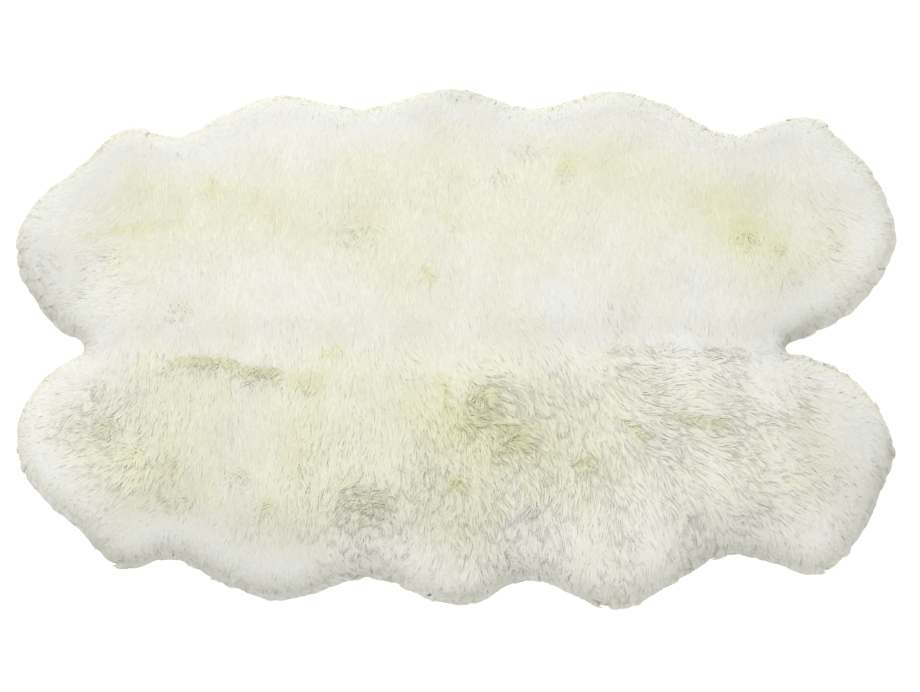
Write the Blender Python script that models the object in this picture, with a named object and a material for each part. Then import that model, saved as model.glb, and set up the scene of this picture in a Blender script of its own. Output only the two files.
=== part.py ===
"""Sheepskin rug of four pelts, sewn two by two and lying flat on the floor.

The frame is in metres with +Z up. The origin is the centre of the rug's base, +X runs along
its length and +Y towards its far long side. Each pelt is a tanned hide with its wool on, and
its solid holds both: the flat hide underneath, and the wool that stands on the hide, spills
past its edge and hangs almost to the floor.
"""

from collections import namedtuple

import bmesh
import bpy
import numpy as np
from mathutils import Matrix, Vector

# Driving dimensions
RUG_LENGTH = 1.83
RUG_DEPTH = 1.11
WIDEST_HEIGHT = 0.018  # height at which the wool reaches furthest out
EDGE_BAND = 0.003  # upright band of wool at the widest height
LONG_SEAM_Y = -0.020  # seam that runs along the rug, between far and near pelts
CROSS_SEAM_X = 0.003  # seam that runs across the rug, between left and right pelts
SEAM_GAP = 0.0003
SEAM_VALLEY_DEPTH = 0.007  # how far the wool dips over a seam
SEAM_VALLEY_WIDTH = 0.030
VALLEY_FLOOR = 0.010  # half the flat bottom of that dip
CROWN_GRID = 0.055  # spacing of the points that carry the mounds of the wool
STEPS_PER_SPAN = 4  # straight steps between two outline marks

# The rug's outline, as the crests and dips of each pelt's scalloped edge, anticlockwise.
OutlineMark = namedtuple("OutlineMark", "x y")
FAR_RIGHT_EDGE = [
    OutlineMark(0.680, -0.017),
    OutlineMark(0.716, 0.009),
    OutlineMark(0.815, 0.058),
    OutlineMark(0.897, 0.157),
    OutlineMark(0.921, 0.228),
    OutlineMark(0.890, 0.340),
    OutlineMark(0.812, 0.442),
    OutlineMark(0.748, 0.490),
    OutlineMark(0.663, 0.474),
    OutlineMark(0.575, 0.452),
    OutlineMark(0.440, 0.520),
    OutlineMark(0.324, 0.550),
    OutlineMark(0.162, 0.510),
]
FAR_LEFT_EDGE = [
    OutlineMark(-0.013, 0.557),
    OutlineMark(-0.200, 0.510),
    OutlineMark(-0.375, 0.541),
    OutlineMark(-0.480, 0.505),
    OutlineMark(-0.586, 0.449),
    OutlineMark(-0.700, 0.464),
    OutlineMark(-0.796, 0.382),
    OutlineMark(-0.907, 0.272),
    OutlineMark(-0.921, 0.185),
    OutlineMark(-0.891, 0.104),
    OutlineMark(-0.825, 0.024),
]
NEAR_LEFT_EDGE = [
    OutlineMark(-0.772, -0.016),
    OutlineMark(-0.825, -0.051),
    OutlineMark(-0.888, -0.125),
    OutlineMark(-0.908, -0.209),
    OutlineMark(-0.880, -0.294),
    OutlineMark(-0.778, -0.392),
    OutlineMark(-0.679, -0.476),
    OutlineMark(-0.581, -0.457),
    OutlineMark(-0.475, -0.507),
    OutlineMark(-0.359, -0.542),
    OutlineMark(-0.176, -0.496),
]
NEAR_RIGHT_EDGE = [
    OutlineMark(0.008, -0.554),
    OutlineMark(0.151, -0.500),
    OutlineMark(0.318, -0.558),
    OutlineMark(0.450, -0.502),
    OutlineMark(0.551, -0.449),
    OutlineMark(0.650, -0.469),
    OutlineMark(0.735, -0.488),
    OutlineMark(0.806, -0.435),
    OutlineMark(0.873, -0.311),
    OutlineMark(0.899, -0.230),
    OutlineMark(0.872, -0.145),
    OutlineMark(0.806, -0.070),
    OutlineMark(0.716, -0.030),
]

# Side profile of the wool at the rug's edge: how far in from the outline, and how high.
ProfileStep = namedtuple("ProfileStep", "inset height")
WOOL_SHOULDER = [
    ProfileStep(0.004, 0.034),
    ProfileStep(0.013, 0.046),
    ProfileStep(0.026, 0.053),
    ProfileStep(0.042, 0.057),
]
WOOL_TUCK = [
    ProfileStep(0.004, 0.008),
    ProfileStep(0.012, 0.003),
    ProfileStep(0.024, 0.0),
]

# Swells and hollows of the wool, where it stands up, is parted, or is brushed flat.
Mound = namedtuple("Mound", "x y radius rise")
MOUNDS = [
    Mound(-0.660, 0.290, 0.110, 0.005),
    Mound(-0.720, 0.180, 0.070, -0.005),
    Mound(-0.380, 0.400, 0.130, 0.003),
    Mound(-0.180, 0.250, 0.070, -0.005),
    Mound(0.130, 0.390, 0.070, -0.004),
    Mound(0.330, 0.430, 0.110, 0.004),
    Mound(0.400, 0.180, 0.140, 0.003),
    Mound(0.640, 0.200, 0.070, -0.005),
    Mound(-0.700, -0.210, 0.090, -0.006),
    Mound(-0.420, -0.220, 0.130, 0.004),
    Mound(-0.190, -0.350, 0.090, 0.006),
    Mound(0.070, -0.180, 0.090, -0.006),
    Mound(0.340, -0.330, 0.130, 0.006),
    Mound(0.560, -0.160, 0.080, -0.005),
    Mound(0.710, -0.280, 0.110, 0.005),
]

# Each pelt's side of the two seams, and its wool's colour.
Pelt = namedtuple("Pelt", "name side_x side_y colour")
PELTS = [
    Pelt("pelt_far_left", -1, 1, (0.83, 0.82, 0.74)),
    Pelt("pelt_far_right", 1, 1, (0.84, 0.83, 0.74)),
    Pelt("pelt_near_left", -1, -1, (0.81, 0.80, 0.71)),
    Pelt("pelt_near_right", 1, -1, (0.80, 0.79, 0.70)),
]
WOOL_ROUGHNESS = 0.95
CUTTER_HEIGHT = 0.2


def clear_scene():
    for obj in list(bpy.data.objects):
        bpy.data.objects.remove(obj, do_unlink=True)


def new_collection(name):
    collection = bpy.data.collections.new(name)
    bpy.context.scene.collection.children.link(collection)
    return collection


def wool_material(name, colour):
    material = bpy.data.materials.new(name)
    material.use_nodes = True
    shader = material.node_tree.nodes["Principled BSDF"]
    shader.inputs["Base Color"].default_value = (*colour, 1.0)
    shader.inputs["Roughness"].default_value = WOOL_ROUGHNESS
    shader.inputs["Metallic"].default_value = 0.0
    return material


def outline_slab():
    """A thin slab with the rug's outline, centred and at its full size, as a mesh."""
    marks = FAR_RIGHT_EDGE + FAR_LEFT_EDGE + NEAR_LEFT_EDGE + NEAR_RIGHT_EDGE
    curve = bpy.data.curves.new("outline", "CURVE")
    curve.dimensions = "2D"
    curve.fill_mode = "BOTH"
    curve.extrude = EDGE_BAND / 2
    curve.resolution_u = STEPS_PER_SPAN
    spline = curve.splines.new("BEZIER")
    spline.bezier_points.add(len(marks) - 1)
    spline.use_cyclic_u = True
    for point, mark in zip(spline.bezier_points, marks):
        point.co = (mark.x, mark.y, 0.0)
        point.handle_left_type = "AUTO"
        point.handle_right_type = "AUTO"
    guide = bpy.data.objects.new("outline", curve)
    bpy.context.scene.collection.objects.link(guide)
    graph = bpy.context.evaluated_depsgraph_get()
    mesh = bpy.data.meshes.new_from_object(guide.evaluated_get(graph))
    bpy.data.objects.remove(guide, do_unlink=True)
    bpy.data.curves.remove(curve)

    points = np.array([vertex.co for vertex in mesh.vertices])
    low, high = points.min(axis=0), points.max(axis=0)
    stretch = (RUG_LENGTH / (high[0] - low[0]), RUG_DEPTH / (high[1] - low[1]), 1.0)
    middle = Vector(((low[0] + high[0]) / 2, (low[1] + high[1]) / 2, -WIDEST_HEIGHT))
    mesh.transform(Matrix.Diagonal((*stretch, 1.0)) @ Matrix.Translation(-middle))
    return mesh


def merged_cap(bm, side):
    """The slab's top (side 1) or bottom (side -1) as one many-sided face."""
    bm.normal_update()
    faces = [face for face in bm.faces if face.normal.z * side > 0.9]
    return bmesh.ops.dissolve_faces(bm, faces=faces)["region"][0]


def step_in(bm, cap, profile):
    """Steps a cap inwards along a profile, leaving a band of faces behind at each step."""
    reached = 0.0
    for step in profile:
        bmesh.ops.inset_region(
            bm, faces=[cap], thickness=step.inset - reached, use_even_offset=True
        )
        reached = step.inset
        for vertex in cap.verts:
            vertex.co.z = step.height


def swell(x, y):
    """How much the wool rises or dips at a point, from its mounds and the two seams."""
    rise = sum(
        mound.rise * np.exp(-((x - mound.x) ** 2 + (y - mound.y) ** 2) / mound.radius**2)
        for mound in MOUNDS
    )
    nearest_seam = min(abs(x - CROSS_SEAM_X), abs(y - LONG_SEAM_Y))
    return rise - SEAM_VALLEY_DEPTH * np.exp(-((nearest_seam / SEAM_VALLEY_WIDTH) ** 2))


def grid_lines(half_span, seam):
    """Places for the crown's grid lines, on both sides of a seam and none on the seam itself."""
    steps = np.arange(VALLEY_FLOOR, half_span + CROWN_GRID, CROWN_GRID)
    return [seam + side * step for step in steps for side in (-1, 1)]


def shape_crown(bm, crown):
    """Cuts the crown by a grid, and lifts its points to the swells of the wool."""
    cuts = [((1, 0, 0), (x, 0, 0)) for x in grid_lines(RUG_LENGTH / 2, CROSS_SEAM_X)]
    cuts += [((0, 1, 0), (0, y, 0)) for y in grid_lines(RUG_DEPTH / 2, LONG_SEAM_Y)]
    level = WOOL_SHOULDER[-1].height
    for normal, place in cuts:
        faces = [f for f in bm.faces if f.normal.z > 0.9 and f.calc_center_median().z > level - 1e-5]
        edges = {edge for face in faces for edge in face.edges}
        verts = {vertex for face in faces for vertex in face.verts}
        bmesh.ops.bisect_plane(
            bm, geom=[*faces, *edges, *verts], plane_no=normal, plane_co=place, dist=1e-5
        )
        bm.normal_update()
    bmesh.ops.triangulate(bm, faces=bm.faces)
    for vertex in bm.verts:
        if vertex.co.z > level - 1e-5:
            vertex.co.z += swell(vertex.co.x, vertex.co.y)


def whole_rug():
    """The rug before its pelts are told apart, as one closed mesh."""
    mesh = outline_slab()
    bm = bmesh.new()
    bm.from_mesh(mesh)
    bmesh.ops.remove_doubles(bm, verts=bm.verts, dist=1e-5)
    bmesh.ops.recalc_face_normals(bm, faces=bm.faces)
    base = merged_cap(bm, -1)
    step_in(bm, base, WOOL_TUCK)
    crown = merged_cap(bm, 1)
    step_in(bm, crown, WOOL_SHOULDER)
    bm.normal_update()
    shape_crown(bm, crown)
    bmesh.ops.recalc_face_normals(bm, faces=bm.faces)
    bm.to_mesh(mesh)
    bm.free()
    mesh.name = "rug"
    return mesh


def quarter_box(pelt, cutters):
    """The box that holds one pelt's quarter of the rug, half a gap clear of both seams."""
    inner = Vector((
        CROSS_SEAM_X + pelt.side_x * SEAM_GAP / 2,
        LONG_SEAM_Y + pelt.side_y * SEAM_GAP / 2,
    ))
    outer = Vector((pelt.side_x * RUG_LENGTH, pelt.side_y * RUG_DEPTH))
    size = (abs(outer.x - inner.x), abs(outer.y - inner.y), CUTTER_HEIGHT)
    centre = (*((inner + outer) / 2), WIDEST_HEIGHT)
    bm = bmesh.new()
    bmesh.ops.create_cube(bm, size=1.0, matrix=Matrix.LocRotScale(centre, None, size))
    mesh = bpy.data.meshes.new("quarter_" + pelt.name)
    bm.to_mesh(mesh)
    bm.free()
    box = bpy.data.objects.new(mesh.name, mesh)
    box.hide_render = True
    box.display_type = "WIRE"
    cutters.objects.link(box)
    return box


def add_pelt(pelt, rug_mesh, parts, cutters):
    """One pelt: the part of the rug that lies within its quarter."""
    mesh = rug_mesh.copy()
    mesh.name = pelt.name
    mesh.materials.append(wool_material("wool_" + pelt.name, pelt.colour))
    obj = bpy.data.objects.new(pelt.name, mesh)
    parts.objects.link(obj)
    cut = obj.modifiers.new("quarter", "BOOLEAN")
    cut.operation = "INTERSECT"
    cut.solver = "EXACT"
    cut.object = quarter_box(pelt, cutters)
    mesh.shade_smooth()
    mesh.set_sharp_from_angle(angle=np.radians(50))


def main():
    clear_scene()
    parts = new_collection("sheepskin_rug")
    cutters = new_collection("cutters")
    rug_mesh = whole_rug()
    for pelt in PELTS:
        add_pelt(pelt, rug_mesh, parts, cutters)


main()
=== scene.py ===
# %% [markdown]
# # A sheepskin rug, from the hides up to the wool
#
# The rug is four whole sheepskins, sewn two by two. On each one a tanned hide lies on the
# floor, and long ivory wool stands on it, lies over in tufts and spills past its edge. This
# lesson builds it in layers: the locks of wool, which are what the eye sees, the dense fleece
# between them, the hides below, and the stitches of the seams on the underside.
#
# The four pelts come from a fixed model in metres. Nothing here moves or resizes it: the new
# pieces stand in the same places and take over its looks.

# %% Load the fixed frame
import math
from collections import namedtuple

import bpy
import numpy as np
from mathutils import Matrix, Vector
from mathutils.bvhtree import BVHTree
from mathutils.kdtree import KDTree


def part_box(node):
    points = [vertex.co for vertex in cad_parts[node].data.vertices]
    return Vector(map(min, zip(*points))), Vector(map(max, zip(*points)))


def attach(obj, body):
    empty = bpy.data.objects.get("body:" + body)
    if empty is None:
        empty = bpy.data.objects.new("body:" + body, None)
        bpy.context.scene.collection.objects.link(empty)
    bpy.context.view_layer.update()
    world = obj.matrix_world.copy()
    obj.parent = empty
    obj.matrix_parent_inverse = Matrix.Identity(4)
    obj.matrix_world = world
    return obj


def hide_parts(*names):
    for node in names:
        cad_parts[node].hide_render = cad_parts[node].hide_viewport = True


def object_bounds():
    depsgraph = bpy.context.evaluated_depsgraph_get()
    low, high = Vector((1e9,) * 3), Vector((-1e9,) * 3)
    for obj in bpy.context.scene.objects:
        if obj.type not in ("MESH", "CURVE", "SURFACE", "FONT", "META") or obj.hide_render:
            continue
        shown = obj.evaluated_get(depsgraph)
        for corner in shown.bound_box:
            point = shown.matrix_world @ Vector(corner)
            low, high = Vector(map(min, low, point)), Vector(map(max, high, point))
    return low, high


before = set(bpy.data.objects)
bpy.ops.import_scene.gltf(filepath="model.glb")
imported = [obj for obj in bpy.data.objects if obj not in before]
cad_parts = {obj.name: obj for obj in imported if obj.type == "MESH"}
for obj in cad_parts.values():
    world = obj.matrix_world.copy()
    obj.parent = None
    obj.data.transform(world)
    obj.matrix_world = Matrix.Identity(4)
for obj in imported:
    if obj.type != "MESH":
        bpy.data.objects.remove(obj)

cad_low, cad_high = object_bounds()
print("pelts:", sorted(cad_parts))
print("size of the fixed model:", [round(side, 3) for side in cad_high - cad_low])

# %% [markdown]
# ## The camera
#
# A rug is shown from high above, with a long lens, so that its outline is hardly foreshortened.
# The camera is placed by its elevation and its distance, which is easier to reason about than
# three coordinates. It aims at a point a little in front of the middle of the rug.

# %% Camera
CAMERA_ELEVATION = math.radians(75)
CAMERA_DISTANCE = 6.0
CAMERA_LENS_MM = 113.8
CAMERA_AIM = Vector((0.007, -0.008, 0.018))

back = Vector((0, -math.cos(CAMERA_ELEVATION), math.sin(CAMERA_ELEVATION)))
bpy.ops.object.camera_add(
    location=CAMERA_AIM + CAMERA_DISTANCE * back,
    rotation=(math.pi / 2 - CAMERA_ELEVATION, 0, 0),
)
camera = bpy.context.object
camera.data.lens = CAMERA_LENS_MM
bpy.context.scene.camera = camera
print("camera at", [round(c, 2) for c in camera.location])

# %% [markdown]
# ## Floor and light
#
# White wool is a hard subject: with one strong lamp it burns out, and with none it has no
# shape. Most of the light here comes from an even pale sky, and one very large soft lamp stands
# behind the rug, a little to the left. So the tufts keep light tips and shaded roots, and the
# edge that faces the viewer falls into a soft grey. The plain view transform keeps whites white.

# %% Floor and light
SKY_COLOUR = (1, 1, 0.985, 1)
SKY_STRENGTH = 0.74
FLOOR_SIZE = 30
FLOOR_WHITE = 0.92
FLOOR_GLOW = 0.50
LAMP_PLACE = Vector((-1.3, 4.4, 4.9))
LAMP_SIZE = 7.0
LAMP_POWER = 266


def new_material(name, **values):
    """A new material, its node tree and its shader, with the shader's even values set."""
    material = bpy.data.materials.new(name)
    material.use_nodes = True
    shader = material.node_tree.nodes["Principled BSDF"]
    for socket, value in values.items():
        shader.inputs[socket.replace("_", " ")].default_value = value
    return material, material.node_tree, shader


bpy.context.scene.view_settings.view_transform = "Standard"
world = bpy.data.worlds.new("studio")
world.use_nodes = True
world.node_tree.nodes["Background"].inputs["Color"].default_value = SKY_COLOUR
world.node_tree.nodes["Background"].inputs["Strength"].default_value = SKY_STRENGTH
bpy.context.scene.world = world

bpy.ops.mesh.primitive_plane_add(size=FLOOR_SIZE)
floor = bpy.context.object
floor.name = "floor"
floor_paint, _, _ = new_material(
    "floor_paint", Base_Color=(FLOOR_WHITE, FLOOR_WHITE, FLOOR_WHITE, 1), Roughness=0.9,
    Specular_IOR_Level=0.0, Emission_Color=(1, 1, 1, 1), Emission_Strength=FLOOR_GLOW,
)
floor.data.materials.append(floor_paint)

bpy.ops.object.light_add(type="AREA", location=LAMP_PLACE)
lamp = bpy.context.object
lamp.data.size = LAMP_SIZE
lamp.data.energy = LAMP_POWER
lamp.rotation_euler = (-LAMP_PLACE).to_track_quat("-Z", "Y").to_euler()
print("lamp", LAMP_SIZE, "m across,", round(LAMP_PLACE.length, 1), "m away")

# %% [markdown]
# ## Working with the pelts
#
# The seams cross near the middle of the rug, where the inner corner of a pelt lies. A few small
# helpers come first: which side of the seams a pelt is on, how to make one object the active
# one, how to take a free copy of a pelt, and how to apply a modifier as soon as it is set up.

# %% Helpers for the pelts
PELTS = ("pelt_far_left", "pelt_far_right", "pelt_near_left", "pelt_near_right")
SEAM_GAP = 0.0003

inner_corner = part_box("pelt_near_left")[1]
SEAM_X = inner_corner.x + SEAM_GAP / 2
SEAM_Y = inner_corner.y + SEAM_GAP / 2


def side_of(name):
    """Which way a pelt lies from the crossing of the seams, as two signs."""
    return (-1 if "left" in name else 1), (-1 if "near" in name else 1)


def activate(obj):
    bpy.ops.object.select_all(action="DESELECT")
    obj.select_set(True)
    bpy.context.view_layer.objects.active = obj


def add_object(name, mesh):
    obj = bpy.data.objects.new(name, mesh)
    bpy.context.scene.collection.objects.link(obj)
    return obj


def copy_of(name, new_name):
    """A free copy of a fixed pelt, with its triangles merged into one surface."""
    obj = add_object(new_name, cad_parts[name].data.copy())
    obj.data.materials.clear()
    activate(obj)
    bpy.ops.object.mode_set(mode="EDIT")
    bpy.ops.mesh.select_all(action="SELECT")
    bpy.ops.mesh.remove_doubles(threshold=1e-5)
    bpy.ops.mesh.customdata_custom_splitnormals_clear()
    bpy.ops.object.mode_set(mode="OBJECT")
    return obj


def apply_modifier(obj, kind, **settings):
    activate(obj)
    modifier = obj.modifiers.new(kind.lower(), kind)
    for key, value in settings.items():
        setattr(modifier, key, value)
    bpy.ops.object.modifier_apply(modifier=modifier.name)


print("the seams cross at", round(SEAM_X, 3), round(SEAM_Y, 3))

# %% [markdown]
# ## The whole fleece as one surface
#
# The wool doesn't know where the seams are: it lies across them. So the locks need one smooth
# surface for the whole rug to lie on. It is made from copies of the four pelts. Their faces
# along the seams are pushed over the gap, the copies are joined, and a voxel remesh melts them
# together. A voxel remesh also gives evenly sized faces, which is handy for spreading locks.

# %% Whole fleece
FLEECE_VOXEL = 0.0066
SEAM_OVERLAP = 0.001

copies = [copy_of(name, "whole_" + name) for name in PELTS]
for name, obj in zip(PELTS, copies):
    side_x, side_y = side_of(name)
    for vertex in obj.data.vertices:
        if abs(vertex.co.x - SEAM_X) < SEAM_OVERLAP:
            vertex.co.x -= side_x * SEAM_OVERLAP
        if abs(vertex.co.y - SEAM_Y) < SEAM_OVERLAP:
            vertex.co.y -= side_y * SEAM_OVERLAP
activate(copies[0])
for obj in copies:
    obj.select_set(True)
bpy.ops.object.join()
whole = bpy.context.object
whole.name = "whole_fleece"
apply_modifier(whole, "REMESH", mode="VOXEL", voxel_size=FLEECE_VOXEL)
apply_modifier(whole, "SMOOTH", factor=0.5, iterations=3)
print("whole fleece:", len(whole.data.polygons), "faces")

# %% [markdown]
# ## Which way the wool lies
#
# Wool lies in a direction, as grass does on a windy hill. It was brushed towards the near side
# on the far pelts and outwards on the near ones. The direction anywhere is a weighted mean of
# the rows nearby, so a short table is enough. A heading is in degrees, from +X anticlockwise.

# %% Table of directions
COMB_REACH = 0.11

Comb = namedtuple("Comb", "x y heading")
COMBING = [
    Comb(-0.80, 0.20, 205), Comb(-0.62, 0.34, 262), Comb(-0.45, 0.20, 270), Comb(-0.20, 0.35, 266),
    Comb(-0.15, 0.08, 275), Comb(0.15, 0.30, 268), Comb(0.40, 0.35, 272), Comb(0.40, 0.10, 270),
    Comb(0.62, 0.30, 280), Comb(0.66, 0.08, 285), Comb(0.82, 0.22, 330), Comb(-0.82, -0.20, 200),
    Comb(-0.60, -0.12, 262), Comb(-0.58, -0.36, 245), Comb(-0.32, -0.18, 268), Comb(-0.30, -0.40, 262),
    Comb(-0.10, -0.15, 280), Comb(-0.02, -0.40, 270), Comb(0.16, -0.08, 318), Comb(0.22, -0.40, 262),
    Comb(0.30, -0.20, 312), Comb(0.42, -0.10, 332), Comb(0.42, -0.38, 300), Comb(0.55, -0.26, 322),
    Comb(0.62, -0.10, 340), Comb(0.74, -0.20, 335), Comb(0.72, -0.38, 310),
]
print("directions:", len(COMBING))

# %% [markdown]
# Here and there the wool opens. A whorl is a star where a tuft stands up, and a crease is a
# parting along a line. Each has its reach in metres, how far it opens, from 0 to 1, and how
# golden the wool looks in it, because one sees deeper there.

# %% Tables of whorls and creases
Whorl = namedtuple("Whorl", "x y reach open gold")
WHORLS = [
    Whorl(-0.18, 0.24, 0.045, 0.35, 0.22), Whorl(-0.70, 0.18, 0.035, 0.35, 0.15),
    Whorl(-0.51, 0.32, 0.022, 0.30, 0.35), Whorl(-0.57, 0.06, 0.026, 0.45, 0.20),
    Whorl(-0.06, 0.14, 0.013, 0.35, 0.60), Whorl(-0.02, 0.26, 0.018, 0.25, 0.20),
    Whorl(0.02, 0.48, 0.020, 0.25, 0.25), Whorl(0.09, 0.36, 0.018, 0.30, 0.25),
    Whorl(0.15, 0.42, 0.028, 0.40, 0.15), Whorl(0.23, 0.37, 0.022, 0.40, 0.35),
    Whorl(0.33, 0.47, 0.022, 0.20, 0.00), Whorl(0.60, 0.22, 0.026, 0.50, 0.55),
    Whorl(0.66, 0.19, 0.022, 0.45, 0.35), Whorl(0.69, 0.14, 0.018, 0.40, 0.10),
    Whorl(0.84, 0.31, 0.024, 0.35, 0.05), Whorl(-0.84, 0.16, 0.035, 0.45, 0.05),
    Whorl(-0.73, -0.10, 0.018, 0.45, 0.25), Whorl(-0.71, -0.19, 0.036, 0.50, 0.20),
    Whorl(-0.65, -0.24, 0.036, 0.50, 0.25), Whorl(-0.55, -0.34, 0.026, 0.50, 0.00),
    Whorl(-0.44, -0.29, 0.026, 0.50, 0.15), Whorl(-0.38, -0.35, 0.018, 0.45, 0.45),
    Whorl(-0.18, -0.36, 0.060, 0.65, 0.15), Whorl(0.00, -0.30, 0.018, 0.45, 0.45),
    Whorl(-0.60, -0.07, 0.012, 0.50, 0.40), Whorl(0.05, -0.13, 0.040, 0.48, 0.52),
    Whorl(0.02, -0.17, 0.030, 0.42, 0.52), Whorl(0.11, -0.21, 0.042, 0.50, 0.45),
    Whorl(0.26, -0.26, 0.024, 0.50, 0.35), Whorl(0.15, -0.36, 0.020, 0.50, 0.10),
    Whorl(0.56, -0.38, 0.026, 0.40, 0.05),
]

Crease = namedtuple("Crease", "x1 y1 x2 y2 reach open gold")
CREASES = [
    Crease(-0.570, -0.051, -0.480, -0.053, 0.011, 0.8, 0.50),
    Crease(-0.480, -0.053, -0.420, -0.076, 0.011, 0.8, 0.50),
    Crease(-0.420, -0.076, -0.365, -0.077, 0.012, 0.9, 0.60),
    Crease(-0.340, -0.085, -0.290, -0.100, 0.020, 0.4, 0.35),
    Crease(-0.270, -0.030, -0.240, -0.020, 0.008, 0.4, 0.45),
    Crease(0.30, -0.020, 0.44, -0.030, 0.010, 0.5, 0.10),
    Crease(0.50, -0.025, 0.66, -0.030, 0.010, 0.5, 0.10),
    Crease(-0.03, -0.080, -0.02, -0.140, 0.010, 0.5, 0.30),
    Crease(0.45, -0.170, 0.54, -0.185, 0.010, 0.7, 0.50),
    Crease(0.33, -0.170, 0.38, -0.210, 0.010, 0.5, 0.40),
    Crease(0.68, -0.255, 0.76, -0.285, 0.012, 0.5, 0.10),
    Crease(0.10, -0.420, 0.12, -0.500, 0.014, 0.6, 0.05),
    Crease(-0.76, 0.220, -0.57, 0.245, 0.012, 0.2, 0.30),
]
print("whorls:", len(WHORLS), "creases:", len(CREASES))

# %% [markdown]
# Raw wool is never one colour. Its inner parts are cream, stained golden in patches, and its
# edge is white. A patch has a place, a reach and an amount, and a negative amount takes colour
# away. The patches are allowed to lie over each other, as the stains of a real fleece do.

# %% Table of stains
INNER_GOLD = 0.36
GOLD_FADE = (0.02, 0.15)  # distances from the edge over which the wool turns from white to cream

Patch = namedtuple("Patch", "x y reach amount")
STAINS = [
    Patch(-0.62, 0.30, 0.11, 0.26), Patch(-0.65, -0.36, 0.10, 0.16), Patch(-0.65, -0.02, 0.09, 0.16),
    Patch(0.20, 0.36, 0.12, 0.10), Patch(0.52, 0.30, 0.10, 0.14), Patch(-0.38, 0.26, 0.12, 0.16),
    Patch(-0.18, 0.26, 0.10, 0.16), Patch(-0.10, 0.16, 0.07, 0.14), Patch(0.30, 0.34, 0.12, 0.12),
    Patch(0.58, 0.24, 0.10, 0.26), Patch(-0.50, -0.07, 0.09, 0.16), Patch(-0.30, -0.10, 0.10, 0.20),
    Patch(-0.60, -0.25, 0.11, 0.14), Patch(-0.30, -0.25, 0.12, 0.16), Patch(-0.05, -0.18, 0.12, 0.22),
    Patch(0.06, -0.20, 0.09, 0.26), Patch(0.05, -0.34, 0.10, 0.16), Patch(0.26, -0.20, 0.10, 0.16),
    Patch(-0.52, 0.08, 0.14, -0.22), Patch(-0.20, 0.02, 0.10, -0.08), Patch(0.25, 0.04, 0.12, -0.10),
    Patch(0.40, 0.06, 0.16, -0.14), Patch(0.55, 0.00, 0.16, -0.12), Patch(-0.78, 0.06, 0.12, -0.14),
    Patch(0.18, -0.40, 0.08, -0.14), Patch(0.60, -0.20, 0.20, -0.10), Patch(0.40, -0.40, 0.16, -0.12),
    Patch(-0.40, 0.44, 0.11, -0.30), Patch(-0.40, 0.30, 0.10, 0.14), Patch(-0.82, 0.22, 0.12, -0.16),
    Patch(-0.86, -0.18, 0.12, -0.20), Patch(0.12, -0.40, 0.07, -0.18), Patch(0.34, -0.38, 0.10, -0.16),
    Patch(0.15, 0.08, 0.09, -0.14), Patch(0.47, 0.04, 0.12, -0.10), Patch(0.86, 0.32, 0.12, -0.16),
    Patch(0.86, -0.12, 0.12, -0.14), Patch(-0.30, 0.03, 0.12, -0.10), Patch(0.62, 0.16, 0.10, 0.08),
    Patch(-0.62, -0.42, 0.10, 0.14), Patch(0.00, 0.48, 0.08, 0.10), Patch(0.25, 0.47, 0.10, 0.12),
    Patch(0.50, 0.42, 0.10, 0.12), Patch(-0.70, 0.38, 0.10, 0.10), Patch(0.74, 0.10, 0.10, 0.10),
    Patch(-0.16, -0.16, 0.05, 0.12), Patch(0.18, -0.34, 0.05, 0.14), Patch(-0.35, 0.10, 0.10, -0.08),
    Patch(0.00, 0.46, 0.12, 0.10),
]
print("stains:", len(STAINS))

# %% [markdown]
# A second table of patches holds painted shade: soft grey painted where the wool lies in hollows,
# and painted light where an amount is negative. A third says where the wool is coarse and stands
# in sharp tufts and not brushed flat and silky.

# %% Tables of painted shade and coarse wool
# painted shade over all the wool, and extra painted shade in a band just inside the edge
MEAN_PAINTED_SHADE = 0.36
EDGE_PAINTED_SHADE = 0.20

# painted shade: each row darkens the wool round its place, and paints light there if its amount is
# negative
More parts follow.
